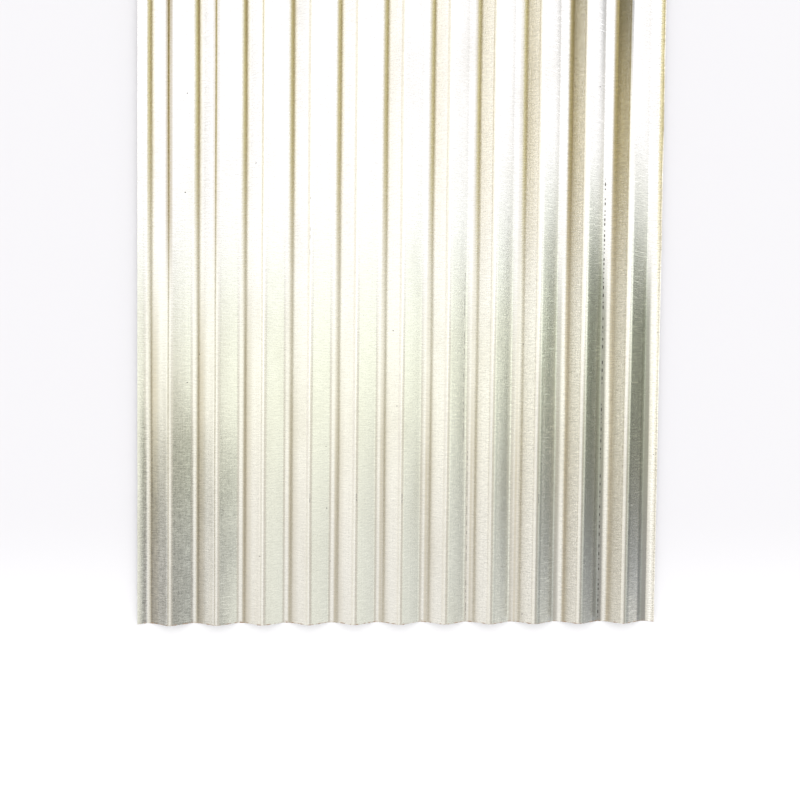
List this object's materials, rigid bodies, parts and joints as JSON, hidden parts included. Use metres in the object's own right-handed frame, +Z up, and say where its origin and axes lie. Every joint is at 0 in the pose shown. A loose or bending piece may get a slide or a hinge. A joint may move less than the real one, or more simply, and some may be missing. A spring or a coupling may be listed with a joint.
{
  "type": "corrugated metal sheet",
  "caption": "Roll-formed corrugated roofing sheet of thin coated steel, with side edges that run past the outer valleys for lapping.",
  "frame": {"origin": "middle of the sheet's footprint, on the plane that the undersides of its valleys rest on", "axes": "+Y along the corrugations, +X across them and +Z up, out of the weather side"},
  "size_m": [0.8732, 2, 0.018],
  "materials": {
    "galvanised_steel": "bright metallic coating with fine grain"
  },
  "bodies": {
    "root": {"corrugated_sheet": "galvanised_steel"}
  },
  "joints": []
}
